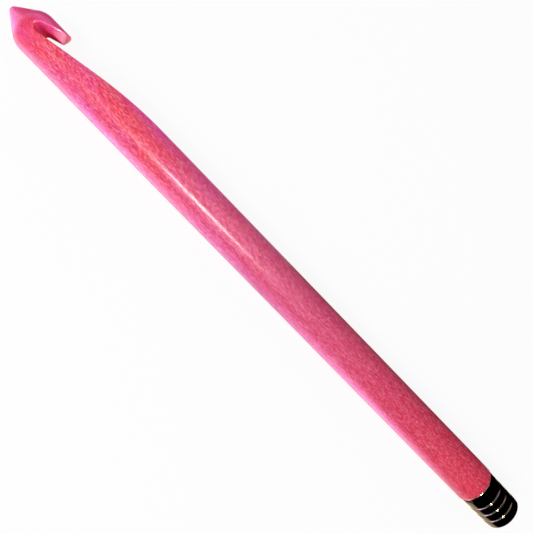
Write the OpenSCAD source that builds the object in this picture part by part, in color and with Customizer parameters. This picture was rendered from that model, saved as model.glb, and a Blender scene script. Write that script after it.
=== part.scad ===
// Crochet hook: a turned wooden hook with a plated metal cap glued over its tail.
// The origin is where it is held, in the middle of the round handle and on its axis. X runs from the nose
// to the tail, and the throat opens towards +Y.

/* [Overall] */
// Length from the nose to the closed end of the cap
total_length = 147.5; // [130:0.5:200]
// Diameter of the round handle, which sets the stitch size
handle_diameter = 9; // [7:0.5:12]

/* [Head] */
// Diameter of the head over the lip
head_diameter = 8.8; // [7:0.1:9.6]
// Angle between the side of the pointed nose and the axis
nose_angle = 36; // [30:1:42]
// Radius of the blunt tip of the nose
tip_radius = 0.95; // [0.5:0.05:1.5]
// Radius that rounds the nose into the head
shoulder_radius = 4; // [2:0.5:6]

/* [Throat] */
// Distance from the tip to the bottom of the throat
throat_from_tip = 7; // [6:0.1:8]
// Radius of the rounded bottom of the throat
throat_radius = 0.8; // [0.6:0.05:1]
// Distance of the throat's bottom from the axis, on the open side
throat_offset = 0.75; // [0.5:0.05:1.1]
// Angle between the lip's inner face and the axis
lip_angle = 11; // [8:1:16]
// Distance from the tip to the end of the lip
lip_from_tip = 11.6; // [11:0.1:13]
// Radius of the lip's rounded end, seen from the open side
lip_end_radius = 4.2; // [3.6:0.1:5]
// Width of the lip's inner face over the throat, where the bevels that narrow it start
lip_root_width = 8.3; // [7.6:0.1:8.6]
// Width of the lip's inner face at its end
lip_face_width = 0.8; // [0.4:0.1:1.6]
// Angle between each bevel and the inner face
lip_bevel_angle = 55; // [40:1:65]

/* [Neck] */
// Angle between the planed neck and the axis
neck_angle = 11.5; // [7:0.1:13]
// Radius of the curve that runs the neck out into the handle
neck_radius = 88; // [40:1:110]
// Height over the handle at which that curve is level, so that it leaves the wood at a slight angle
neck_overrun = 0.05; // [0.02:0.01:0.1]

/* [Tail] */
// Radius that breaks the wood's edge beside the cap
wood_edge_radius = 0.3; // [0.1:0.05:0.5]
// Length of the turned tenon inside the cap
tenon_length = 7.5; // [5:0.5:8]
// Chamfer at the end of the tenon
tenon_chamfer = 0.4; // [0.2:0.1:0.8]
// Thickness of the glue between the tenon and the cap's socket
glue_gap = 0.1; // [0.05:0.01:0.2]
// Depth of the glue pocket past the end of the tenon
glue_pocket = 0.4; // [0.2:0.1:0.8]

/* [Cap] */
// Length of the cap along the handle
cap_length = 10; // [9.5:0.5:14]
// Step from the handle's surface down to the cap's
cap_step = 0.08; // [0.02:0.01:0.2]
// Radius lost between the cap's mouth and its closed end
cap_taper = 0.15; // [0:0.01:0.3]
// Radius that rounds the closed end
cap_end_radius = 0.7; // [0.3:0.05:1.2]
// Least wall left under a groove
cap_wall = 0.55; // [0.4:0.05:0.9]
// Length of the plain band at the cap's mouth
first_band = 3.2; // [2:0.1:3.6]
// Distance from one groove to the next
groove_pitch = 2.05; // [1.5:0.05:2.4]
// Number of turned grooves
groove_count = 3; // [1:1:3]
// Width of a groove at the surface
groove_width = 0.4; // [0.2:0.05:0.6]
// Depth of a groove
groove_depth = 0.18; // [0.1:0.01:0.25]
// Height of each band's swell between its grooves
band_swell = 0.05; // [0:0.01:0.1]

/* [Hidden] */

// Facets of a full circle, and of one short arc in an outline
$fn = 96;
arc_steps = 10;
// Room that a cut takes past the surface it leaves through
cut_margin = 1;

handle_radius = handle_diameter / 2;
head_radius = head_diameter / 2;
tail_x = total_length - cap_length;

// Nose: the blunt tip, the straight side and the shoulder meet without a corner
tip_end = [tip_radius * (1 - sin(nose_angle)), tip_radius * cos(nose_angle)];
shoulder_height = head_radius - shoulder_radius;
shoulder_start_height = shoulder_height + shoulder_radius * cos(nose_angle);
nose_end_x = tip_end.x + (shoulder_start_height - tip_end.y) / tan(nose_angle);
shoulder_x = nose_end_x + shoulder_radius * sin(nose_angle);
head_end_x = max(lip_from_tip, shoulder_x) + cut_margin;

// Throat: both of its faces leave its round bottom without a corner
throat_centre = [throat_from_tip + throat_radius, throat_offset];
lip_foot = throat_centre + throat_radius * [-sin(lip_angle), cos(lip_angle)];
neck_foot = throat_centre + throat_radius * [sin(neck_angle), -cos(neck_angle)];
mouth_x = lip_from_tip + cut_margin;
mouth_top = lip_foot.y + (mouth_x - lip_foot.x) * tan(lip_angle);
open_height = max(handle_radius, head_radius, mouth_top) + cut_margin;

// Lip: the edge of each bevel runs straight from the head's side over the throat to the lip's end
lip_face_length = (lip_from_tip - lip_foot.x) / cos(lip_angle);
bevel_turn = atan((lip_root_width - lip_face_width) / 2 / lip_face_length);

// Neck: a straight slope, then an arc that leaves it and levels out just over the handle
neck_top = handle_radius + neck_overrun;
runout_height = neck_top - neck_radius * (1 - cos(neck_angle));
runout_x = neck_foot.x + (runout_height - neck_foot.y) / tan(neck_angle);
neck_end_x = runout_x + neck_radius * sin(neck_angle);

// Middle of the plain round handle
grip_x = (neck_end_x + tail_x - wood_edge_radius) / 2;

// Cap and tenon
cap_radius = handle_radius - cap_step;
socket_radius = cap_radius - cap_taper - band_swell - groove_depth - cap_wall;
socket_depth = tenon_length + glue_pocket;
tenon_radius = socket_radius - glue_gap;

// Points along an arc from one angle to another
function arc(centre, radius, from, to) =
    [for (i = [0 : arc_steps])
        let (angle = lerp(from, to, i / arc_steps)) centre + radius * [cos(angle), sin(angle)]];

// The value a share of the way from one number to another
function lerp(from, to, share) = from + (to - from) * share;

// Radius of the cap's plain taper at a distance from its mouth
function cap_radius_at(x) = cap_radius - cap_taper * x / cap_length;

// Place of a groove, counted from the cap's mouth
function groove_x(i) = first_band + i * groove_pitch;

// Outline of one band from one edge to the other, swelling in the middle
function band(from, to) =
    [for (i = [0 : arc_steps]) let (share = i / arc_steps, x = lerp(from, to, share))
        [x, cap_radius_at(x) - band_swell * pow(2 * share - 1, 2)]];

// Outline of the cap's bands and grooves from its mouth to the start of its rounded end
function cap_bands() = [
    for (i = [0 : groove_count])
        each concat(
            band(i == 0 ? 0 : groove_x(i - 1) + groove_width / 2,
                 i == groove_count ? cap_length - cap_end_radius : groove_x(i) - groove_width / 2),
            i == groove_count ? [] : [[groove_x(i), cap_radius_at(groove_x(i)) - band_swell - groove_depth]]
        )
];

// Turns an outline of [place, radius] points about the X axis
module turned(outline) {
    rotate([0, 90, 0])
        rotate_extrude()
            polygon([for (point = outline) [point.y, point.x]]);
}

// Moves a piece that is drawn along the X axis from the nose, to put the origin in the middle of the handle
module from_grip() {
    translate([-grip_x, 0, 0])
        children();
}

// The stick as it comes off the lathe, without its tenon
module turned_stick() {
    turned(concat(
        arc([tip_radius, 0], tip_radius, 180, 90 + nose_angle),
        arc([shoulder_x, shoulder_height], shoulder_radius, 90 + nose_angle, 90),
        [[head_end_x, head_radius], [neck_end_x, handle_radius]],
        arc([tail_x - wood_edge_radius, handle_radius - wood_edge_radius], wood_edge_radius, 90, 0),
        [[tail_x, 0]]
    ));
}

// The turned-down end that the cap covers
module tenon() {
    turned([
        [tail_x, 0],
        [tail_x, tenon_radius],
        [tail_x + tenon_length - tenon_chamfer, tenon_radius],
        [tail_x + tenon_length, tenon_radius - tenon_chamfer],
        [tail_x + tenon_length, 0]
    ]);
}

// What is cut away between the lip's inner face, the throat's round bottom, the slope of the neck and the
// curve that runs it out into the handle
module throat_cut() {
    linear_extrude(2 * open_height, center = true)
        polygon(concat(
            [[mouth_x, open_height], [mouth_x, mouth_top]],
            arc(throat_centre, throat_radius, 90 + lip_angle, 270 + neck_angle),
            arc([neck_end_x, neck_top - neck_radius], neck_radius, 90 + neck_angle, 90),
            [[neck_end_x, open_height]]
        ));
}

// What is cut away beyond the lip's rounded end, above the middle of the throat
module lip_end_cut() {
    middle_slope = tan((lip_angle + neck_angle) / 2);
    round_x = lip_from_tip - lip_end_radius;
    difference() {
        linear_extrude(2 * open_height, center = true)
            polygon([
                [round_x, throat_centre.y + (round_x - throat_centre.x) * middle_slope],
                [mouth_x, throat_centre.y + (mouth_x - throat_centre.x) * middle_slope],
                [mouth_x, open_height],
                [round_x, open_height]
            ]);
        translate([round_x, -open_height, 0])
            rotate([-90, 0, 0])
                cylinder(r = lip_end_radius, h = 3 * open_height);
    }
}

// What is cut away to bevel one side of the lip's inner face: a wedge that starts a little inside the throat
module lip_bevel_cut() {
    depth = throat_radius / 2;
    reach = 2 * head_radius;
    translate([lip_foot.x, lip_foot.y, 0])
        rotate([0, 0, lip_angle])
            translate([0, 0, lip_root_width / 2])
                rotate([0, bevel_turn - 90, 0])
                    linear_extrude(4 * lip_face_length, center = true)
                        polygon([
                            [-depth / tan(lip_bevel_angle), -depth],
                            [reach, -depth],
                            [reach, reach * tan(lip_bevel_angle)]
                        ]);
}

// The wooden stick with its hook, neck, handle and tenon
module wood_hook() {
    color("#DB5C82")
        from_grip()
            union() {
                difference() {
                    turned_stick();
                    throat_cut();
                    lip_end_cut();
                    lip_bevel_cut();
                    mirror([0, 0, 1])
                        lip_bevel_cut();
                }
                tenon();
            }
}

// The metal cap: bands and grooves outside, a blind socket inside
module end_cap() {
    end_x = cap_length - cap_end_radius;
    end_height = cap_radius_at(end_x) - band_swell - cap_end_radius;
    color("#1C1B1D")
        from_grip()
            translate([tail_x, 0, 0])
                turned(concat(
                    [[0, socket_radius]],
                    cap_bands(),
                    arc([end_x, end_height], cap_end_radius, 90, 0),
                    [[cap_length, 0], [socket_depth, 0], [socket_depth, socket_radius]]
                ));
}

// The glue that fills the socket round the tenon and past its end
module glue_film() {
    color("#C9A24A")
        from_grip()
            difference() {
                turned([
                    [tail_x, 0],
                    [tail_x, socket_radius],
                    [tail_x + socket_depth, socket_radius],
                    [tail_x + socket_depth, 0]
                ]);
                tenon();
            }
}

wood_hook();
end_cap();
glue_film();
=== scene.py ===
"""A dyed wooden crochet hook with a black metal cap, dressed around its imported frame.

The sizes of the pieces are in millimetres, counted along the hook from its nose. The meshes are in metres.
"""

import logging
import math
from dataclasses import dataclass, field
from enum import Enum
from typing import Any, Callable

import bpy
import numpy as np
from mathutils import Matrix, Vector


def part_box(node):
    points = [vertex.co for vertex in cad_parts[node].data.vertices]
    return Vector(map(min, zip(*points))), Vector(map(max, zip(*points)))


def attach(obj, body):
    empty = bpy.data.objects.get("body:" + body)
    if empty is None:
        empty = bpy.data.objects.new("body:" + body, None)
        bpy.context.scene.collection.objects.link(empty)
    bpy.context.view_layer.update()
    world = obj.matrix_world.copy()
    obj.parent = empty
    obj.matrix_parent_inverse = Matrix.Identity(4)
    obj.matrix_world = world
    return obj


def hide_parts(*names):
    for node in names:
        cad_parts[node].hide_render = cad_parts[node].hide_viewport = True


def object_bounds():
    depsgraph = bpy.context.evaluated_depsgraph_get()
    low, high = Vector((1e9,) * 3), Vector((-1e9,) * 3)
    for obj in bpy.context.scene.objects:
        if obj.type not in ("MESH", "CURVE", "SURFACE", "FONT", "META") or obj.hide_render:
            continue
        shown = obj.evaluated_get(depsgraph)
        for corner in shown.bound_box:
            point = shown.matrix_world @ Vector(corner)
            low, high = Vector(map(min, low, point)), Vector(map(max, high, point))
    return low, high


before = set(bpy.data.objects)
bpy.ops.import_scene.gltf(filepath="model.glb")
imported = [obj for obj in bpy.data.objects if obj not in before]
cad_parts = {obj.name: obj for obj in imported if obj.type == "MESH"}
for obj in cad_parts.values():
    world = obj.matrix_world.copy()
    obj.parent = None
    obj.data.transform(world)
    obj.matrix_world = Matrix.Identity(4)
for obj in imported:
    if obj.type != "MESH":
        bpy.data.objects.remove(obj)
CAD_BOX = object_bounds()

Array = np.ndarray
Solid = Callable[[Array], Array]
Tree = bpy.types.NodeTree
Socket = bpy.types.NodeSocket

MM = 0.001
BODY = "root"
WHITE = "#FFFFFF"
X_AXIS, Y_AXIS, Z_AXIS = np.eye(3)
QUARTER_TURN = math.pi / 2

# The sockets of a Mix node by their places, because their names repeat for each type of value
MIX_SHARE, NUMBER_A, NUMBER_B, COLOUR_A, COLOUR_B = 0, 2, 3, 6, 7
COLOUR_OUT = 2

log = logging.getLogger("crochet_hook")


class Node(Enum):
    """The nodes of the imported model."""

    WOOD = "wood_hook"
    CAP = "end_cap"
    GLUE = "glue_film"


class Slot(Enum):
    """The record's material slots of the pieces that are drawn anew."""

    WOOD = "dyed_wood"
    METAL = "plated_metal"


def linear(hex_colour: str) -> tuple[float, float, float, float]:
    """Turns an sRGB colour into the linear values that a shader takes.

    Args:
        hex_colour: the colour as "#RRGGBB".

    Returns:
        Red, green, blue and an alpha of 1.
    """
    parts = [int(hex_colour[i : i + 2], 16) / 255 for i in (1, 3, 5)]
    red, green, blue = (c / 12.92 if c <= 0.04045 else ((c + 0.055) / 1.055) ** 2.4 for c in parts)
    return red, green, blue, 1.0


def empty_tree(owner: bpy.types.Material | bpy.types.World) -> Tree:
    """Switches a material or the world over to nodes.

    Args:
        owner: the material or the world.

    Returns:
        Its node tree, with nothing in it.
    """
    owner.use_nodes = True
    owner.node_tree.nodes.clear()
    return owner.node_tree


def add_node(tree: Tree, kind: str, inputs: dict | None = None, **settings: Any) -> bpy.types.Node:
    """Adds a node to a tree.

    Args:
        tree: the node tree.
        kind: the node's type name.
        inputs: a value or an output socket for each input, by the input's name or place.
        settings: the node's own properties.

    Returns:
        The new node.
    """
    node = tree.nodes.new(kind)
    for name, value in settings.items():
        setattr(node, name, value)
    for key, value in (inputs or {}).items():
        if isinstance(value, Socket):
            tree.links.new(value, node.inputs[key])
        else:
            node.inputs[key].default_value = value
    return node


def node_scale(along: float, across: float) -> tuple[float, float, float]:
    """Gives the Mapping scale for a pattern of these sizes, in mm, along and across the grain."""
    return 1 / (along * MM), 1 / (across * MM), 1 / (across * MM)


def share_between(value: Array, start: float, end: float) -> Array:
    """Gives how far a value has come from the start to the end, from 0 to 1."""
    return np.clip((value - start) / (end - start), 0, 1)


def eased(share: Array) -> Array:
    """Eases a share in and out: three times its square less twice its cube."""
    return share * share * (3 - 2 * share)


def round_max(first: Array, second: Array, radius: Array | float) -> Array:
    """Joins two distances so that the solid has both limits and their edge is rounded.

    Args:
        first: distance outside the first surface, in mm, negative inside.
        second: distance outside the second surface.
        radius: radius of the rounded edge.

    Returns:
        The larger distance, but within the radius of both surfaces the distance outside a round edge.
    """
    corner = np.hypot(np.maximum(first + radius, 0), np.maximum(second + radius, 0))
    return np.minimum(np.maximum(first, second), -radius) + corner


def crossing(distance: Solid, start: Array, direction: Array, reach: Array | float) -> Array:
    """Finds where rays leave a solid by halving the stretch that holds the surface.

    Args:
        distance: gives the distance outside the solid at points of shape (..., 3).
        start: points inside the solid.
        direction: unit vectors.
        reach: a length at which each ray is outside.

    Returns:
        The points on the surface.
    """
    halvings = 30
    near = np.zeros(np.broadcast_shapes(start.shape, direction.shape)[:-1])
    far = near + reach
    for _ in range(halvings):
        middle = (near + far) / 2
        outside = distance(start + middle[..., None] * direction) > 0
        near, far = np.where(outside, near, middle), np.where(outside, middle, far)
    return start + far[..., None] * direction


def arc(centre: tuple[float, float], radius: float, turn: Array) -> Array:
    """Draws an arc of a profile: the centre plus the radius times the cosine and the sine of each angle.

    Args:
        centre: place along the axis and distance from it.
        radius: radius of the arc.
        turn: angles from the axis.

    Returns:
        Rows of place along the axis and radius.
    """
    return np.array(centre) + radius * np.stack([np.cos(turn), np.sin(turn)], axis=-1)


def turned_rings(profile: Array, sides: int) -> Array:
    """Turns a profile about the X axis, so that each of its rows becomes a circle round the axis.

    Args:
        profile: rows of place along the axis and radius.
        sides: points round each ring.

    Returns:
        Rings of points, of shape (rows, sides, 3). They start at -Y and turn towards +Z.
    """
    angle = np.linspace(0, 4 * QUARTER_TURN, sides, endpoint=False)
    place, radius = profile[:, :1], profile[:, 1:]
    across, up = -radius * np.cos(angle), radius * np.sin(angle)
    return np.stack([np.repeat(place, sides, 1), across, up], axis=-1)


def closed_surface(name: str, rings: Array, tip_x: float) -> bpy.types.Object:
    """Skins rings with quads, closes both ends with a fan and links the object to the scene.

    Args:
        name: the object's name.
        rings: points of shape (rings, sides, 3), in mm from the nose.
        tip_x: place of the nose in the frame, in metres.

    Returns:
        The new object, at the origin.
    """
    count, sides = rings.shape[:2]
    points = np.concatenate([rings.reshape(-1, 3), rings[:1].mean(1), rings[-1:].mean(1)]) * MM
    points[:, 0] += tip_x
    row = np.arange(count * sides).reshape(count, sides)
    after = np.roll(row, -1, axis=1)
    quads = np.stack([row[:-1], row[1:], after[1:], after[:-1]], axis=-1).reshape(-1, 4)
    first_pole, last_pole = count * sides, count * sides + 1
    first_fan = np.stack([np.full(sides, first_pole), row[0], after[0]], axis=-1)
    last_fan = np.stack([np.full(sides, last_pole), after[-1], row[-1]], axis=-1)
    corners = np.concatenate([quads.ravel(), first_fan.ravel(), last_fan.ravel()])
    sizes = np.concatenate([np.full(len(quads), 4), np.full(2 * sides, 3)])

    mesh = bpy.data.meshes.new(name)
    mesh.vertices.add(len(points))
    mesh.vertices.foreach_set("co", points.astype(np.float32).ravel())
    mesh.loops.add(len(corners))
    mesh.loops.foreach_set("vertex_index", corners.astype(np.int32))
    mesh.polygons.add(len(sizes))
    mesh.polygons.foreach_set("loop_start", (np.cumsum(sizes) - sizes).astype(np.int32))
    mesh.polygons.foreach_set("use_smooth", np.ones(len(sizes), dtype=bool))
    mesh.update(calc_edges=True)
    mesh.validate()
    piece = bpy.data.objects.new(name, mesh)
    bpy.context.scene.collection.objects.link(piece)
    return piece


def write_layer(piece: bpy.types.Object, name: str, values: Array) -> None:
    """Stores a value at each point of a closed surface, which is 0 at its two poles.

    Args:
        piece: the object that closed_surface made.
        name: the layer's name.
        values: a value for each point of the rings, in their order.
    """
    poles = np.zeros(2)
    layer = piece.data.attributes.new(name, "FLOAT", "POINT")
    layer.data.foreach_set("value", np.concatenate([values.ravel(), poles]).astype(np.float32))


def dress(piece: bpy.types.Object, material: bpy.types.Material) -> None:
    """Gives a piece one material in place of all that it had."""
    piece.data.materials.clear()
    piece.data.materials.append(material)


@dataclass(frozen=True)
class Streaks:
    """A noise drawn out along the grain and stretched between two levels.

    Attributes:
        size: length and width of a streak, in mm.
        detail: how many finer layers the noise has.
        levels: the noise values that become 0 and the full amount.
        amount: the most that the pattern gives.
        offset: shift of the pattern, in streaks, so that two patterns don't line up.
    """

    size: tuple[float, float]
    detail: float
    levels: tuple[float, float]
    amount: float = 1.0
    offset: float = 0.0

    def add(self, tree: Tree, grain: Socket) -> Socket:
        """Adds the pattern to a material.

        Args:
            tree: the material's tree.
            grain: the grain's coordinates.

        Returns:
            The socket that gives the pattern.
        """
        shift = (self.offset, self.offset, self.offset)
        moving = {"Vector": grain, "Scale": node_scale(*self.size), "Location": shift}
        moved = add_node(tree, "ShaderNodeMapping", moving).outputs[0]
        layers = {"Vector": moved, "Scale": 1.0, "Detail": self.detail}
        noise = add_node(tree, "ShaderNodeTexNoise", layers).outputs[0]
        low, high = self.levels
        stretch = {"Value": noise, "From Min": low, "From Max": high, "To Max": self.amount}
        return add_node(tree, "ShaderNodeMapRange", stretch).outputs[0]


@dataclass(frozen=True)
class DyedWood:
    """Close-grained hardwood, dyed through, sanded and lacquered.

    The dye takes unevenly, so coral and rose drift into each other. It darkens towards the tail, partly as
    dye and partly as painted shade for the light that falls off from the head. The lip's bevels are painted
    pale towards the lip's end, a painted reflection of the lacquer's shine. Short dark pores and pale flecks
    lie along the grain, and the lacquer lays a satin shine over all of it.
    """

    name: str = "dyed_hardwood_lacquered"
    coral: str = "#FA304A"
    rose: str = "#F43E96"
    middle: str = "#E65082"
    tail: str = "#E62446"
    # Darker than the coral, partly as dye and partly as painted shade for the light that falls off from the
    # head
    pore: str = "#C81C40"
    fleck: str = "#FF90A8"
    # Painted reflection: the pale colour that the lip's bevels are painted in place of the lacquer's shine
    pale: str = "#FFA8C4"
    painted_sheen_layer: str = "painted_bevel_sheen"
    # Shares of the stick's length at which the colour turns to that of the middle, and then to that of the
    # tail, whose darkness is partly dye and partly painted shade
    middle_span: tuple[float, float] = (0.2, 0.6)
    tail_span: tuple[float, float] = (0.5, 1.0)
    # Sizes in mm, along and across the grain
    tilt: float = math.radians(3)
    sway_size: tuple[float, float] = (9.0, 3.0)
    sway_detail: float = 1.0
    sway: float = 0.3
    drift: Streaks = Streaks((14.0, 3.5), detail=2.0, levels=(0.35, 0.65))
    lines: Streaks = Streaks((5.0, 0.25), detail=3.0, levels=(0.35, 0.7), amount=0.3, offset=5.3)
    # Real fibres are some 0.03 mm across, too fine to show, so they are drawn as coarse as they need to be
    fibre_size: tuple[float, float] = (0.6, 0.13)
    pore_levels: tuple[float, float] = (0.5, 0.15)
    fleck_levels: tuple[float, float] = (0.5, 0.9)
    pore_depth: float = 0.02
    # The fibres stand out little on the smooth nose, most on the neck and less again towards the tail
    smooth_end: float = 6.0
    rough_start: float = 13.0
    nose_contrast: float = 0.25
    neck_contrast: float = 0.75
    tail_contrast: float = 0.4
    roughness: float = 0.5
    shine: float = 0.2
    lacquer: float = 0.8
    lacquer_roughness: float = 0.2

    def build(self, start: float, end: float) -> bpy.types.Material:
        """Makes the material.

        Args:
            start: place of the nose along X, in metres.
            end: place of the wood's tail along X.

        Returns:
            The material.
        """
        material = bpy.data.materials.new(self.name)
        tree = empty_tree(material)
        place = add_node(tree, "ShaderNodeTexCoord").outputs["Object"]
        along = add_node(tree, "ShaderNodeSeparateXYZ", {0: place}).outputs["X"]
        grain = self.grain(tree, place)
        pores, flecks = self.fibres(tree, grain, self.contrast(tree, along, start, end))
        turns = []
        for span in (self.middle_span, self.tail_span):
            first, last = (start + share * (end - start) for share in span)
            stretch = {"Value": along, "From Min": first, "From Max": last}
            turn = add_node(tree, "ShaderNodeMapRange", stretch, interpolation_type="SMOOTHSTEP")
            turns.append(turn.outputs[0])
        to_middle, to_tail = turns
        # The painted reflection on the lip's bevels
        pale = add_node(tree, "ShaderNodeAttribute", attribute_name=self.painted_sheen_layer).outputs["Fac"]
        layers = (
            (self.drift.add(tree, grain), self.rose),
            (to_middle, self.middle),
            (to_tail, self.tail),
            (self.lines.add(tree, grain), self.pore),
            (pores, self.pore),
            (flecks, self.fleck),
            (pale, self.pale),
        )
        dye = linear(self.coral)
        for share, colour in layers:
            blend = {MIX_SHARE: share, COLOUR_A: dye, COLOUR_B: linear(colour)}
            dye = add_node(tree, "ShaderNodeMix", blend, data_type="RGBA").outputs[COLOUR_OUT]

        height = add_node(tree, "ShaderNodeMath", {0: 1.0, 1: pores}, operation="SUBTRACT").outputs[0]
        relief = {"Height": height, "Distance": self.pore_depth * MM}
        bump = add_node(tree, "ShaderNodeBump", relief).outputs[0]
        shader = add_node(
            tree,
            "ShaderNodeBsdfPrincipled",
            {
                "Base Color": dye,
                "Roughness": self.roughness,
                "Specular IOR Level": self.shine,
                "Normal": bump,
                "Coat Weight": self.lacquer,
                "Coat Roughness": self.lacquer_roughness,
                "Coat Normal": bump,
            },
        )
        add_node(tree, "ShaderNodeOutputMaterial", {"Surface": shader.outputs[0]})
        return material

    def grain(self, tree: Tree, place: Socket) -> Socket:
        """Lays the grain slightly askew and lets it sway: a slow noise shifts every finer pattern sideways.

        Args:
            tree: the material's tree.
            place: the piece's own coordinates.

        Returns:
            The socket that gives the grain's coordinates.
        """
        askew = add_node(tree, "ShaderNodeVectorRotate", {"Vector": place, "Angle": self.tilt}).outputs[0]
        stretch = {"Vector": askew, "Scale": node_scale(*self.sway_size)}
        slow = add_node(tree, "ShaderNodeMapping", stretch).outputs[0]
        layers = {"Vector": slow, "Scale": 1.0, "Detail": self.sway_detail}
        waves = add_node(tree, "ShaderNodeTexNoise", layers).outputs["Color"]
        shift = {0: waves, 1: (0.0, self.sway * MM, self.sway * MM), 2: askew}
        return add_node(tree, "ShaderNodeVectorMath", shift, operation="MULTIPLY_ADD").outputs[0]

    def contrast(self, tree: Tree, along: Socket, start: float, end: float) -> Socket:
        """Works out how much the fibres stand out along the stick.

        Args:
            tree: the material's tree.
            along: place along X.
            start: place of the nose along X, in metres.
            end: place of the wood's tail along X.

        Returns:
            The socket that gives the contrast.
        """
        fading = {"Value": along, "From Min": start, "From Max": end}
        fading |= {"To Min": self.neck_contrast, "To Max": self.tail_contrast}
        to_tail = add_node(tree, "ShaderNodeMapRange", fading).outputs[0]
        rising = {"Value": along, "From Min": start + self.smooth_end * MM}
        rising |= {"From Max": start + self.rough_start * MM, "To Min": self.nose_contrast, "To Max": to_tail}
        return add_node(tree, "ShaderNodeMapRange", rising, interpolation_type="SMOOTHSTEP").outputs[0]

    def fibres(self, tree: Tree, grain: Socket, contrast: Socket) -> list[Socket]:
        """Gives every short fibre its own shade: the darkest are pores and the palest flecks.

        Args:
            tree: the material's tree.
            grain: the grain's coordinates.
            contrast: how much the fibres stand out.

        Returns:
            The sockets that give the pores and the flecks.
        """
        drawn_out = {"Vector": grain, "Scale": node_scale(*self.fibre_size)}
        cells = add_node(tree, "ShaderNodeMapping", drawn_out).outputs[0]
        shade = add_node(tree, "ShaderNodeTexVoronoi", {"Vector": cells, "Scale": 1.0}).outputs["Color"]
        patterns = []
        for none, full in (self.pore_levels, self.fleck_levels):
            stretch = {"Value": shade, "From Min": none, "From Max": full, "To Max": contrast}
            patterns.append(add_node(tree, "ShaderNodeMapRange", stretch).outputs[0])
        return patterns


@dataclass(frozen=True)
class BlackNickel:
    """Brass with a polished black nickel plate: near black face on, with a bright rim where it turns away.

    In the turned grooves and on the mouth's edge the plate is cut brighter.
    """

    name: str = "black_nickel_plate"
    face: str = "#48443E"
    cut: str = "#ACA48C"
    rim: str = "#E4DCCC"
    roughness: float = 0.08
    cut_layer: str = "bright_cut"

    def build(self) -> bpy.types.Material:
        """Makes the material, which is brighter where the piece's layer of cuts says so.

        Returns:
            The material.
        """
        material = bpy.data.materials.new(self.name)
        tree = empty_tree(material)
        cut = add_node(tree, "ShaderNodeAttribute", attribute_name=self.cut_layer).outputs["Fac"]
        blend = {MIX_SHARE: cut, COLOUR_A: linear(self.face), COLOUR_B: linear(self.cut)}
        shader = add_node(
            tree,
            "ShaderNodeBsdfPrincipled",
            {
                "Base Color": add_node(tree, "ShaderNodeMix", blend, data_type="RGBA").outputs[COLOUR_OUT],
                "Metallic": 1.0,
                "Roughness": self.roughness,
                "Specular Tint": linear(self.rim),
            },
        )
        add_node(tree, "ShaderNodeOutputMaterial", {"Surface": shader.outputs[0]})
        return material


@dataclass(frozen=True)
class CuredGlue:
    """Amber glue that has set hard inside the cap, half glossy where it would show."""

    name: str = "cured_amber_glue"
    amber: str = "#C9A24A"
    roughness: float = 0.35

    def build(self) -> bpy.types.Material:
        """Makes the material.

        Returns:
            The material.
        """
        material = bpy.data.materials.new(self.name)
        tree = empty_tree(material)
        look = {"Base Color": linear(self.amber), "Roughness": self.roughness}
        shader = add_node(tree, "ShaderNodeBsdfPrincipled", look)
        add_node(tree, "ShaderNodeOutputMaterial", {"Surface": shader.outputs[0]})
        return material


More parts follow.
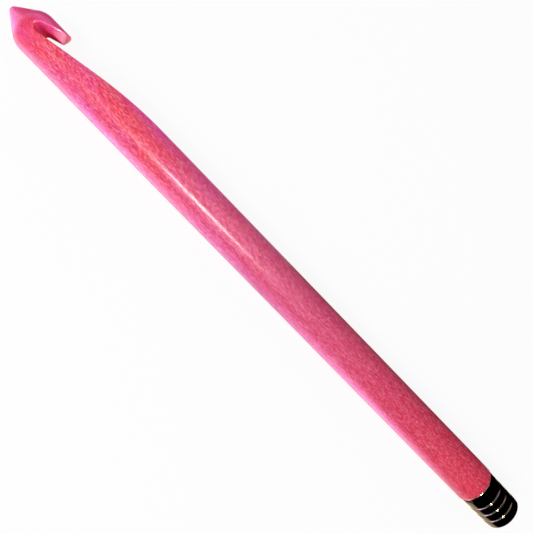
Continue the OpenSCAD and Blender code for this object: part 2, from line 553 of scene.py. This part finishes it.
@dataclass
class WoodHook:
    """The wooden stick: nose, head, throat, lip, neck, handle and tenon.

    It is one closed surface. Its rings run up the tenon and the handle, along the neck, fan round the bottom
    of the throat through the head, and run out along the lip.
    """

    tip_x: float
    handle_radius: float
    tail: float
    tenon_end: float
    tenon_radius: float
    head_radius: float = 4.4
    nose_angle: float = math.radians(36)
    tip_radius: float = 0.95
    shoulder_radius: float = 4.0
    throat_start: float = 7.0
    throat_radius: float = 0.8
    throat_offset: float = 0.75
    lip_angle: float = math.radians(11)
    lip_end: float = 11.6
    lip_end_radius: float = 4.2
    lip_root_width: float = 7.5
    lip_face_width: float = 0.8
    bevel_angle: float = math.radians(55)
    bevel_share: float = 0.25
    bevel_runout: float = 2.0
    crease_radius: float = 0.4
    neck_angle: float = math.radians(11.5)
    neck_radius: float = 88.0
    neck_overrun: float = 0.05
    head_end: float = 12.6
    tail_edge: float = 0.3
    tenon_chamfer: float = 0.4
    edge_radius: float = 0.22
    # Where the painted reflection on the lip's bevels begins and is strongest, and its reach off them in edge
    # radii
    sheen_start: float = 8.8
    sheen_end: float = 11.4
    sheen_reach: float = 1.2
    # How finely the surface is drawn
    sides: int = 160
    edge_rings: int = 7
    handle_step: float = 1.0
    neck_cuts: int = 80
    head_cuts: int = 130
    lip_cuts: int = 50
    lip_last_turn: float = math.radians(1.0)
    # Where the rays that look for the surface start: head radii below the axis, throat radii off its centre
    neck_start_depth: float = 0.9
    head_start_radius: float = 1.2
    # Worked out from the sizes above
    nose_start: Array = field(init=False)
    nose_length: float = field(init=False)
    shoulder_height: float = field(init=False)
    shoulder_x: float = field(init=False)
    throat_x: float = field(init=False)
    round_x: float = field(init=False)
    neck_top: float = field(init=False)
    runout_x: float = field(init=False)
    neck_end: float = field(init=False)
    reach: float = field(init=False)

    def __post_init__(self) -> None:
        """Works out the corners of the outline from the driving sizes."""
        run, rise = math.cos(self.nose_angle), math.sin(self.nose_angle)
        self.nose_start = self.tip_radius * np.array([1 - rise, run])
        self.shoulder_height = self.head_radius - self.shoulder_radius
        climb = self.shoulder_height + self.shoulder_radius * run - self.nose_start[1]
        self.nose_length = climb / rise
        self.shoulder_x = self.nose_start[0] + self.nose_length * run + self.shoulder_radius * rise
        self.throat_x = self.throat_start + self.throat_radius
        self.round_x = self.lip_end - self.lip_end_radius
        run, rise = math.cos(self.neck_angle), math.sin(self.neck_angle)
        foot_x = self.throat_x + self.throat_radius * rise
        foot_y = self.throat_offset - self.throat_radius * run
        self.neck_top = self.handle_radius + self.neck_overrun
        runout_y = self.neck_top - self.neck_radius * (1 - run)
        self.runout_x = foot_x + (runout_y - foot_y) * run / rise
        self.neck_end = self.runout_x + self.neck_radius * rise
        self.reach = 2 * self.throat_x

    def turned(self, point: Array) -> Array:
        """Gives the distance outside the turned stick.

        The outline is a ball at the tip, a cone, an arc at the shoulder and then the side of the stick. Each
        point takes its distance from the stretch that it lies beside.

        Args:
            point: points of shape (..., 3).

        Returns:
            The distances.
        """
        x, radius = point[..., 0], np.hypot(point[..., 1], point[..., 2])
        run, rise = math.cos(self.nose_angle), math.sin(self.nose_angle)
        from_nose_x, from_nose_y = x - self.nose_start[0], radius - self.nose_start[1]
        beside = from_nose_x * run + from_nose_y * rise
        ball = np.hypot(x - self.tip_radius, radius) - self.tip_radius
        cone = from_nose_y * run - from_nose_x * rise
        shoulder = np.hypot(x - self.shoulder_x, radius - self.shoulder_height) - self.shoulder_radius
        share = share_between(x, self.head_end, self.neck_end)
        side = radius - (self.head_radius + (self.handle_radius - self.head_radius) * share)
        stretches = [beside < 0, beside < self.nose_length, x < self.shoulder_x]
        return np.select(stretches, [ball, cone, shoulder], side)

    def throat(self, point: Array, angle: float, upwards: bool) -> Array:
        """Gives the distance inside the throat's cut, seen from one of its two faces.

        A face is a straight line that leaves the throat's round bottom without a corner. Beside the bottom
        the distance is that to its centre, and along the face it is that to the line.

        Args:
            point: points of shape (..., 3).
            angle: angle between the face and the X axis.
            upwards: True for the lip's face, which has the wood above it.

        Returns:
            The distances, positive in the cut.
        """
        x, y = point[..., 0] - self.throat_x, point[..., 1] - self.throat_offset
        along = x * math.cos(angle) + y * math.sin(angle)
        away = (y * math.cos(angle) - x * math.sin(angle)) * (1 if upwards else -1)
        return self.throat_radius - np.where(along > 0, away, np.hypot(x, y))

    def core(self, point: Array) -> Array:
        """Gives the distance outside the wood below the throat and along the neck.

        The turned stick is cut by the throat's lower face, and past its straight slope by a large arc that
        runs out into the handle. The round of their edge shrinks to nothing along that arc.

        Args:
            point: points of shape (..., 3).

        Returns:
            The distances.
        """
        x, y = point[..., 0], point[..., 1]
        planed = self.throat(point, self.neck_angle, upwards=False)
        curved = np.hypot(x - self.neck_end, y - self.neck_top + self.neck_radius) - self.neck_radius
        cut = np.where(x > self.runout_x, curved, planed)
        fade = share_between(x, self.neck_end, self.runout_x)
        return round_max(self.turned(point), cut, self.edge_radius * fade)

    def bevel(self, point: Array) -> Array:
        """Gives the distance outside the two bevels that narrow the lip's inner face.

        Seen on the inner face, the edge of a bevel is a straight line from the head's side over the throat
        to half the face's width at the lip's end. The bevel's plane rises from that line into the wood. Below
        the throat's centre it leans away from the wood, so that it runs out there.

        Args:
            point: points of shape (..., 3).

        Returns:
            The distances, positive where the bevels cut.
        """
        run, rise = math.cos(self.lip_angle), math.sin(self.lip_angle)
        x = point[..., 0] - self.throat_x + self.throat_radius * rise
        y = point[..., 1] - self.throat_offset - self.throat_radius * run
        face_length = (self.lip_end - self.throat_x + self.throat_radius * rise) / run
        turn = math.atan((self.lip_root_width - self.lip_face_width) / 2 / face_length)
        outer = np.abs(point[..., 2]) - self.lip_root_width / 2
        beyond = (x * run + y * rise) * math.sin(turn) + outer * math.cos(turn)
        above = np.maximum(y * run - x * rise, 0)
        below = np.maximum(self.throat_offset - point[..., 1], 0)
        plane = beyond * math.sin(self.bevel_angle) - above * math.cos(self.bevel_angle)
        return plane - self.bevel_runout * below

    def head(self, point: Array) -> Array:
        """Gives the distance outside the head in front of and above the throat.

        The turned stick is cut by the lip's inner face. The bevels are rounded into that face by a share of
        its half width, which shrinks towards the lip's end. The edge of both to the stick's side is rounder
        above the throat's centre than below it.

        Args:
            point: points of shape (..., 3).

        Returns:
            The distances.
        """
        along = share_between(point[..., 0], self.throat_x, self.lip_end)
        half_width = (self.lip_root_width + (self.lip_face_width - self.lip_root_width) * along) / 2
        bevel_round = np.maximum(self.bevel_share * half_width, self.edge_radius)
        face = round_max(self.throat(point, self.lip_angle, upwards=True), self.bevel(point), bevel_round)
        above = share_between(point[..., 1], self.throat_offset, self.throat_offset + self.throat_radius)
        crease = self.edge_radius + (self.crease_radius - self.edge_radius) * eased(above)
        return round_max(self.turned(point), face, crease)

    def lip(self, point: Array) -> Array:
        """Gives the distance outside the lip, whose end is an arc when seen from the open side."""
        end = np.hypot(point[..., 0] - self.round_x, point[..., 2]) - self.lip_end_radius
        return round_max(self.head(point), end, self.edge_radius)

    def sections(self, solid: Solid, centre: Array, outward: Array, room: Array) -> Array:
        """Cuts a solid with planes that hold the Z direction, and draws each cut as a ring.

        Each ring has one point on every ray from the cut's centre, and the rays turn from the outward
        direction towards +Z. A ray ends in the throat, so that it can't go on into the wood across it.

        Args:
            solid: distance function of the solid.
            centre: a point inside each cut, of shape (cuts, 3).
            outward: a unit vector in each cut that points away from the throat.
            room: how far each cut's rays may go back towards the throat.

        Returns:
            The rings, of shape (cuts, sides, 3).
        """
        not_zero = 1e-9
        angle = np.linspace(0, 4 * QUARTER_TURN, self.sides, endpoint=False)
        back = np.maximum(-np.cos(angle), not_zero)
        reach = np.minimum(room[:, None] / back, self.reach)
        direction = np.cos(angle)[:, None] * outward[:, None, :] + np.sin(angle)[:, None] * Z_AXIS
        return crossing(solid, centre[:, None, :], direction, reach)

    def tail_rings(self) -> Array:
        """Turns the tenon, the shoulder under the cap and the round handle up to the neck.

        Returns:
            The rings, from the tenon's end to the neck.
        """
        tenon = np.array(
            [
                [self.tenon_end, self.tenon_radius - self.tenon_chamfer],
                [self.tenon_end - self.tenon_chamfer, self.tenon_radius],
                [self.tail, self.tenon_radius],
            ]
        )
        inset = (self.tail - self.tail_edge, self.handle_radius - self.tail_edge)
        edge = arc(inset, self.tail_edge, np.linspace(0, QUARTER_TURN, self.edge_rings))
        step = self.handle_step
        x = np.arange(self.tail - step, self.neck_end + step / 2, -step)
        handle = np.stack([x, np.full_like(x, self.handle_radius)], axis=-1)
        return turned_rings(np.concatenate([tenon, edge, handle]), self.sides)

    def neck_rings(self) -> Array:
        """Cuts the neck across the X axis, with each cut's centre halfway between its face and its back.

        Returns:
            The rings, from the handle to the bottom of the throat.
        """
        x = np.linspace(self.neck_end, self.throat_x, self.neck_cuts)
        line = x[:, None] * X_AXIS
        start = line - self.neck_start_depth * self.head_radius * Y_AXIS
        face = crossing(self.core, start, Y_AXIS, self.reach)[:, 1:2]
        centre = line + (face - self.handle_radius) / 2 * Y_AXIS
        outward = np.tile(-Y_AXIS, (len(x), 1))
        return self.sections(self.core, centre, outward, np.full(len(x), self.reach))

    def head_rings(self) -> Array:
        """Cuts the head with a fan of planes about the throat's centre.

        Returns:
            The rings, from below the throat past the nose to above it.
        """
        turn = np.linspace(-QUARTER_TURN, -3 * QUARTER_TURN, self.head_cuts)[1:-1]
        outward = np.stack([np.cos(turn), np.sin(turn), np.zeros_like(turn)], axis=-1)
        hinge = np.array([self.throat_x, self.throat_offset, 0.0])
        inner = hinge + self.head_start_radius * self.throat_radius * outward
        outer = crossing(self.turned, inner, outward, self.reach)
        centre = (inner + outer) / 2
        return self.sections(self.head, centre, outward, np.linalg.norm(centre - hinge, axis=-1))

    def lip_rings(self) -> Array:
        """Cuts the lip across the X axis at even turns of its round end, so closer together towards it.

        Returns:
            The rings, from above the throat's bottom to the lip's end.
        """
        run, rise = math.cos(self.lip_angle), math.sin(self.lip_angle)
        first_turn = math.acos((self.throat_x - self.round_x) / self.lip_end_radius)
        turn = np.linspace(first_turn, self.lip_last_turn, self.lip_cuts)
        x = self.round_x + self.lip_end_radius * np.cos(turn)
        face = self.throat_offset + (self.throat_radius + (x - self.throat_x) * rise) / run
        middle = (face + self.head_radius) / 2
        centre = np.stack([x, middle, np.zeros_like(x)], axis=-1)
        return self.sections(self.lip, centre, np.tile(Y_AXIS, (len(x), 1)), middle - self.throat_offset)

    def painted_sheen_share(self, point: Array) -> Array:
        """Gives how much painted reflection each point takes, a pale colour in place of the lacquer's shine.

        It is the nearness to the planes of the bevels times an eased rise towards the lip's end, and 0 off
        the lip.

        Args:
            point: points of shape (..., 3).

        Returns:
            The shares, from 0 to 1.
        """
        x, y = point[..., 0], point[..., 1]
        on_lip = (x < self.lip_end + self.edge_radius) & (y > self.throat_offset)
        on_bevel = np.clip(self.sheen_reach - np.abs(self.bevel(point)) / self.edge_radius, 0, 1)
        return on_lip * on_bevel * eased(share_between(x, self.sheen_start, self.sheen_end))

    def build(self, finish: DyedWood) -> bpy.types.Object:
        """Makes the piece, dresses it and puts it in the place of its node.

        Args:
            finish: the wood's finish.

        Returns:
            The piece.
        """
        rings = np.concatenate([self.tail_rings(), self.neck_rings(), self.head_rings(), self.lip_rings()])
        piece = closed_surface("hook_of_dyed_wood", rings, self.tip_x)
        # Stores where the lip's bevels carry the painted reflection
        write_layer(piece, finish.painted_sheen_layer, self.painted_sheen_share(rings))
        dress(piece, finish.build(self.tip_x, self.tip_x + self.tail * MM))
        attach(piece, BODY)
        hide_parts(Node.WOOD.value)
        return piece


@dataclass
class MetalCap:
    """The cap: a plain band, turned grooves with swelling bands between them, a rounded end and a socket."""

    tip_x: float
    mouth: float
    length: float
    mouth_radius: float
    socket_radius: float
    socket_depth: float
    taper: float = 0.15
    end_radius: float = 0.35
    first_band: float = 3.2
    groove_pitch: float = 2.05
    groove_count: int = 3
    groove_width: float = 0.4
    groove_depth: float = 0.18
    swell: float = 0.05
    mouth_edge: float = 0.12
    # How finely the surface is drawn
    sides: int = 160
    side_rings: int = 260
    end_rings: int = 12
    mouth_rings: int = 6

    def radius_at(self, x: Array) -> Array:
        """Gives the radius of the banded side.

        The side tapers evenly, each band swells as a parabola between its grooves, and the grooves dip in.

        Args:
            x: places counted from the cap's mouth.

        Returns:
            The radii.
        """
        edges = np.concatenate([[0.0], self.groove_places(), [self.length - self.end_radius]])
        band = np.clip(np.searchsorted(edges, x, side="right") - 1, 0, self.groove_count)
        share = (x - edges[band]) / (edges[band + 1] - edges[band])
        bulge = self.swell * (2 * share - 1) ** 2
        return self.mouth_radius - self.taper * x / self.length - bulge - self.groove_depth * self.dip(x)

    def groove_places(self) -> Array:
        """Gives the middle of each groove, counted from the cap's mouth."""
        return self.first_band + self.groove_pitch * np.arange(self.groove_count)

    def dip(self, x: Array) -> Array:
        """Gives the nearest groove's depth, a squared cosine from 0 at its edges to 1 at its bottom."""
        nearest = np.abs(x[:, None] - self.groove_places()).min(1) / self.groove_width
        return np.where(nearest < 0.5, np.cos(math.pi * nearest) ** 2, 0)

    def profile(self) -> tuple[Array, Array]:
        """Draws the outline from the middle of the closed end, over the bands and into the socket.

        Returns:
            Rows of place and radius, and for each row how bright its metal is cut.
        """
        side_end = self.length - self.end_radius
        x = np.linspace(side_end, self.mouth_edge, self.side_rings)
        side = np.stack([x, self.radius_at(x)], axis=-1)
        turn = np.linspace(0, QUARTER_TURN, self.end_rings)[:-1]
        end = arc((side_end, side[0, 1] - self.end_radius), self.end_radius, turn)
        # One ring halfway to the axis keeps the faces of the flat end short
        flat = np.array([[self.length, end[0, 1] / 2]])
        turn = np.linspace(QUARTER_TURN, 2 * QUARTER_TURN, self.mouth_rings)[1:]
        rim = arc((self.mouth_edge, side[-1, 1] - self.mouth_edge), self.mouth_edge, turn)
        socket = np.array([[0.0, self.socket_radius], [self.socket_depth, self.socket_radius]])
        stretches = ((flat, 0.0), (end, 0.0), (side, self.dip(x)), (rim, 1.0), (socket, 0.0))
        outline = np.concatenate([rows for rows, _ in stretches]) + [self.mouth, 0.0]
        cuts = np.concatenate([np.broadcast_to(cut, len(rows)) for rows, cut in stretches])
        return outline, cuts

    def build(self, finish: BlackNickel) -> bpy.types.Object:
        """Makes the piece, dresses it and puts it in the place of its node.

        Args:
            finish: the metal's finish.

        Returns:
            The piece.
        """
        outline, cuts = self.profile()
        piece = closed_surface("cap_of_plated_metal", turned_rings(outline, self.sides), self.tip_x)
        write_layer(piece, finish.cut_layer, np.repeat(cuts, self.sides))
        dress(piece, finish.build())
        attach(piece, BODY)
        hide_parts(Node.CAP.value)
        return piece


@dataclass(frozen=True)
class Lamp:
    """A rectangular lamp over the hook.

    Attributes:
        name: the lamp's name.
        place: its place along the hook from the nose, its Y and its height over the floor, in mm.
        width: its width, in mm.
        height: its height, in mm.
        power: its power in watts.
        colour: its colour.
        target: the place on the hook that it faces, in mm from the nose.
        spread: the angle of its beam.
        lights: whether it lights matt surfaces.
        shines: whether it shows in glossy ones.
    """

    name: str
    place: tuple[float, float, float]
    width: float
    height: float
    power: float
    colour: str
    target: float = 70.0
    spread: float = math.pi
    lights: bool = True
    shines: bool = True


@dataclass(frozen=True)
class Card:
    """A bent sheet beside the hook that shows only in its shine.

    Attributes:
        name: the card's name.
        span: where it starts and ends along the hook, in mm from the nose.
        bend: Y and height over the floor of its edges and folds, in mm.
        colours: its colour at the start and at the end.
        level: how bright it is, where 1 is white.
        slants: how far its start and its end run on along the hook for each mm of distance from it.
    """

    name: str
    span: tuple[float, float]
    bend: tuple[tuple[float, float], ...]
    colours: tuple[str, str] = ("#000000", "#000000")
    level: float = 1.0
    slants: tuple[float, float] = (0.0, 0.0)


# The window lights the hook from its back and the throat lamp looks into the throat. The others show only in
# the shine: the ceiling lamp as the narrow streak on the handle, the spark lamp in the cap's grooves and the
# crease lamp along the edge of the lip.
LAMPS = (
    Lamp("window", (-40, -200, 425), 300, 200, 1.46, "#EEF2FF", shines=False),
    Lamp("ceiling_lamp", (25, -180, 605), 120, 110, 1.9, "#FFF1DC", lights=False),
    Lamp("throat_lamp", (115, 22, 50), 12, 12, 0.00025, WHITE, 9, math.radians(14), shines=False),
    Lamp("spark_lamp", (120, -30, 105), 30, 30, 0.008, "#FFF1DC", 142, math.radians(20), lights=False),
    Lamp("crease_lamp", (129, 160, 225), 60, 60, 0.016, "#FFF0F8", 9, math.radians(16), lights=False),
)

# The table beside the hook's back mirrors the sky. The far side falls from rose into the dark towards the
# tail, with a thin shadow close to the hook, and the bright ceiling lays a haze over the handle's middle. The
# cap sees a dark room with a strip of bright table on each side.
CARDS = (
    Card("sky_by_nose", (-60, -2), ((-40, 0.5), (3, 0.5)), ("#D8C4FF", "#D8C4FF"), 3.4),
    Card("rose_by_nose", (-60, -2), ((3, 0.5), (40, 0.5)), ("#C02070", "#C02070"), 1.0),
    Card("sky_by_head", (-2, 28), ((-60, 8), (-60, 0.5), (-8, 0.5)), ("#C0B0D0", "#CCC8FF"), 5.0),
    Card("sky_by_neck", (28, 72), ((-60, 24), (-60, 0.5), (-8, 0.5)), ("#CCC8FF", "#8C88B4"), 5.6),
    Card("sky_by_tail", (72, 112), ((-60, 12), (-60, 0.5), (-8, 0.5)), ("#787498", "#E8C0FF"), 5.0),
    Card(
        "sky_by_cap", (112, 137.3), ((-60, 8), (-60, 0.5), (-8, 0.5)), ("#E8C0FF", "#7C6868"), 5.0, (0, 0.66)
    ),
    # Painted shadow: a black card where the hook's shadow lies beside it, seen only in the shine
    Card("shadow_far_side", (25, 138), ((4.5, 0.5), (7, 0.5))),
    Card("rose_by_lip", (-2, 10), ((7, 0.5), (100, 0.5), (100, 20)), ("#802048", "#A03068"), 1.2),
    Card("rose_far_side", (10, 75), ((7, 0.5), (100, 0.5), (100, 20)), ("#D838B8", "#786478"), 1.8),
    Card("dark_far_side", (75, 138), ((7, 0.5), (100, 0.5), (100, 90)), slants=(0, 0.3)),
    Card("ceiling_to_head", (-120, 70), ((-700, 620), (900, 620)), ("#7C6478", "#FFE4F4"), 3.0),
    Card("ceiling_to_tail", (70, 200), ((-700, 620), (900, 620)), ("#FFE4F4", "#604C58"), 3.0),
    # Painted shadow: a black card under the throat, seen only in the shine
    Card("shadow_in_throat", (6, 10), ((-1, 0.5), (4, 0.5))),
    Card("table_by_cap", (137.3, 180), ((-31, 0.5), (-3.5, 0.5)), ("#FFF4E6", "#FFF4E6"), 2.6, (0.66, 0)),
    Card("table_past_cap", (138, 180), ((3.5, 0.5), (8, 0.5)), ("#FFF4E6", "#FFF4E6"), 2.2, (0.6, 0)),
    Card("dark_past_cap", (138, 330), ((8, 0.5), (100, 0.5), (100, 100), (0, 140)), slants=(0.3, 0)),
    Card("dark_by_cap", (150, 330), ((-31, 0.5), (-100, 0.5), (-100, 100), (0, 140))),
)


@dataclass
class Studio:
    """The pale floor, the lamps, the cards, the white surroundings and the camera.

    The floor is in metres. What is seen of the surroundings dims overhead, between the two heights of the
    horizon. The camera's aim is a place along the hook and its Y, in mm, and its focal width is in pixels.
    """

    floor_z: float
    tip_x: float
    floor_size: float = 3.0
    floor_colour: str = "#F7F7F7"
    lift: float = 0.9
    fill: float = 0.45
    ceiling: float = 0.15
    horizon: tuple[float, float] = (0.1, 0.5)
    aim: tuple[float, float] = (70.74, 0.55)
    distance: float = 118.3
    lean_to_head: float = math.radians(6.606)
    lean_to_back: float = math.radians(5.27)
    roll: float = math.radians(45.803)
    picture_width: float = 533.0
    focal_width: float = 570.0
    sensor_width: float = 36.0
    nearest: float = 1.0

    def build(self) -> None:
        """Makes everything round the hook."""
        self.add_floor()
        self.add_world()
        for lamp in LAMPS:
            self.add_lamp(lamp)
        for card in CARDS:
            self.add_card(card)
        self.add_camera()
        bpy.context.scene.view_settings.view_transform = "Standard"

    def seen(self, tree: Tree) -> Socket:
        """Adds nodes that tell rays that show a thing from rays by which it lights matt surfaces.

        Args:
            tree: the node tree.

        Returns:
            The socket that gives 1 to the first and 0 to the others.
        """
        path = add_node(tree, "ShaderNodeLightPath").outputs
        total = path["Is Camera Ray"]
        for kind in ("Is Glossy Ray", "Is Transmission Ray"):
            both = {0: total, 1: path[kind]}
            total = add_node(tree, "ShaderNodeMath", both, operation="ADD", use_clamp=True).outputs[0]
        return total

    def add_floor(self) -> None:
        """Lays a matt sheet of white paper under the hook, lifted towards white where it is seen."""
        half = self.floor_size / 2
        sides = ((-half, -half), (half, -half), (half, half), (-half, half))
        mesh = bpy.data.meshes.new("floor")
        mesh.from_pydata([(x, y, self.floor_z) for x, y in sides], [], [(0, 1, 2, 3)])
        floor = bpy.data.objects.new("floor", mesh)
        bpy.context.scene.collection.objects.link(floor)
        material = bpy.data.materials.new("matt_white_paper")
        tree = empty_tree(material)
        paper = add_node(tree, "ShaderNodeBsdfDiffuse", {"Color": linear(self.floor_colour)}).outputs[0]
        white = add_node(tree, "ShaderNodeEmission", {"Color": linear(WHITE), "Strength": 1.0}).outputs[0]
        share = {0: self.seen(tree), 1: self.lift}
        lift = add_node(tree, "ShaderNodeMath", share, operation="MULTIPLY").outputs[0]
        both = add_node(tree, "ShaderNodeMixShader", {0: lift, 1: paper, 2: white}).outputs[0]
        add_node(tree, "ShaderNodeOutputMaterial", {"Surface": both})
        dress(floor, material)

    def add_world(self) -> None:
        """Makes the surroundings an even fill of light, seen as white at the horizon and dim overhead."""
        world = bpy.data.worlds.new("studio")
        tree = empty_tree(world)
        direction = add_node(tree, "ShaderNodeTexCoord").outputs["Generated"]
        height = add_node(tree, "ShaderNodeSeparateXYZ", {0: direction}).outputs["Z"]
        low, high = self.horizon
        dimming = {"Value": height, "From Min": low, "From Max": high, "To Min": 1.0, "To Max": self.ceiling}
        shown = add_node(tree, "ShaderNodeMapRange", dimming, interpolation_type="SMOOTHSTEP").outputs[0]
        levels = {MIX_SHARE: self.seen(tree), NUMBER_A: self.fill, NUMBER_B: shown}
        level = add_node(tree, "ShaderNodeMix", levels).outputs[0]
        light = add_node(tree, "ShaderNodeBackground", {"Color": linear(WHITE), "Strength": level}).outputs[0]
        add_node(tree, "ShaderNodeOutputWorld", {"Surface": light})
        bpy.context.scene.world = world

    def add_lamp(self, lamp: Lamp) -> None:
        """Hangs a lamp and turns it to its target on the hook.

        Args:
            lamp: the lamp.
        """
        light = bpy.data.lights.new(lamp.name, "AREA")
        light.shape = "RECTANGLE"
        light.size, light.size_y = lamp.width * MM, lamp.height * MM
        light.spread = lamp.spread
        light.energy = lamp.power
        light.color = linear(lamp.colour)[:3]
        holder = bpy.data.objects.new(lamp.name, light)
        holder.visible_diffuse = lamp.lights
        holder.visible_glossy = lamp.shines
        place = Vector(lamp.place) * MM + Vector((self.tip_x, 0, self.floor_z))
        target = Vector((self.tip_x + lamp.target * MM, 0, 0))
        holder.location = place
        holder.rotation_euler = (target - place).to_track_quat("-Z", "Y").to_euler()
        bpy.context.scene.collection.objects.link(holder)

    def add_card(self, card: Card) -> None:
        """Stands a card beside the hook and hides it from all but the shine of the hook.

        Args:
            card: the card.
        """
        side, height = np.array(card.bend).T
        edges = [[place + slant * np.abs(side), side, height] for place, slant in zip(card.span, card.slants)]
        points = np.transpose(edges, (0, 2, 1)).reshape(-1, 3) * MM + (self.tip_x, 0.0, self.floor_z)
        count = len(card.bend)
        faces = [(i, i + 1, i + 1 + count, i + count) for i in range(count - 1)]
        mesh = bpy.data.meshes.new(card.name)
        mesh.from_pydata(points.tolist(), [], faces)
        shades = np.array([linear(colour) for colour in card.colours]) * card.level
        glow = mesh.attributes.new("glow", "FLOAT_COLOR", "POINT")
        glow.data.foreach_set("color", np.repeat(shades, count, axis=0).ravel())
        sheet = bpy.data.objects.new(card.name, mesh)
        for ray in ("camera", "diffuse", "shadow", "transmission"):
            setattr(sheet, f"visible_{ray}", False)
        bpy.context.scene.collection.objects.link(sheet)
        material = bpy.data.materials.new("reflector_card")
        tree = empty_tree(material)
        colour = add_node(tree, "ShaderNodeAttribute", attribute_name=glow.name).outputs["Color"]
        light = add_node(tree, "ShaderNodeEmission", {"Color": colour}).outputs[0]
        add_node(tree, "ShaderNodeOutputMaterial", {"Surface": light})
        dress(sheet, material)

    def add_camera(self) -> None:
        """Sets the camera over the hook, leaning towards its head and its back and rolled about its view."""
        pitch, tilt = self.lean_to_head, self.lean_to_back
        back = Vector((-math.sin(pitch), -math.cos(pitch) * math.sin(tilt), math.cos(pitch) * math.cos(tilt)))
        along = Vector((math.cos(pitch), -math.sin(pitch) * math.sin(tilt), math.sin(pitch) * math.cos(tilt)))
        across = back.cross(along)
        right = math.cos(self.roll) * along + math.sin(self.roll) * across
        up = back.cross(right)
        aim = Vector((self.tip_x + self.aim[0] * MM, self.aim[1] * MM, 0.0))
        lens = bpy.data.cameras.new("camera")
        lens.sensor_width = self.sensor_width
        lens.lens = self.sensor_width * self.focal_width / self.picture_width
        lens.clip_start = self.nearest * MM
        camera = bpy.data.objects.new("camera", lens)
        turn = Matrix((right, up, back)).transposed().to_4x4()
        camera.matrix_world = Matrix.Translation(aim + back * self.distance * MM) @ turn
        bpy.context.scene.collection.objects.link(camera)
        bpy.context.scene.camera = camera


def report(piece: bpy.types.Object) -> None:
    """Logs a finished piece and its count of triangles, two fewer for each face than it has corners."""
    log.info("%s: %d triangles", piece.name, len(piece.data.loops) - 2 * len(piece.data.polygons))


def main() -> None:
    """Builds every piece in the frame, then the studio."""
    logging.basicConfig(level=logging.INFO, format="%(name)s: %(message)s")
    wood_low, wood_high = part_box(Node.WOOD.value)
    cap_low, cap_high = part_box(Node.CAP.value)
    _, glue_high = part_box(Node.GLUE.value)
    tip_x = wood_low.x
    socket_radius = glue_high.z / MM
    glue_thickness = 0.1
    # In the photograph the cap ends this much sooner than its solid does
    cap_setback = 0.45

    hook = WoodHook(
        tip_x=tip_x,
        handle_radius=wood_high.z / MM,
        tail=(cap_low.x - tip_x) / MM,
        tenon_end=(wood_high.x - tip_x) / MM,
        tenon_radius=socket_radius - glue_thickness,
    )
    report(hook.build(DyedWood()))
    cap = MetalCap(
        tip_x=tip_x,
        mouth=hook.tail,
        length=(cap_high.x - cap_low.x) / MM - cap_setback,
        mouth_radius=cap_high.z / MM,
        socket_radius=socket_radius,
        socket_depth=(glue_high.x - cap_low.x) / MM,
    )
    report(cap.build(BlackNickel()))
    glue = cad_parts[Node.GLUE.value]
    dress(glue, CuredGlue().build())
    report(glue)
    Studio(floor_z=CAD_BOX[0].z, tip_x=tip_x).build()


if __name__ == "__main__":
    main()
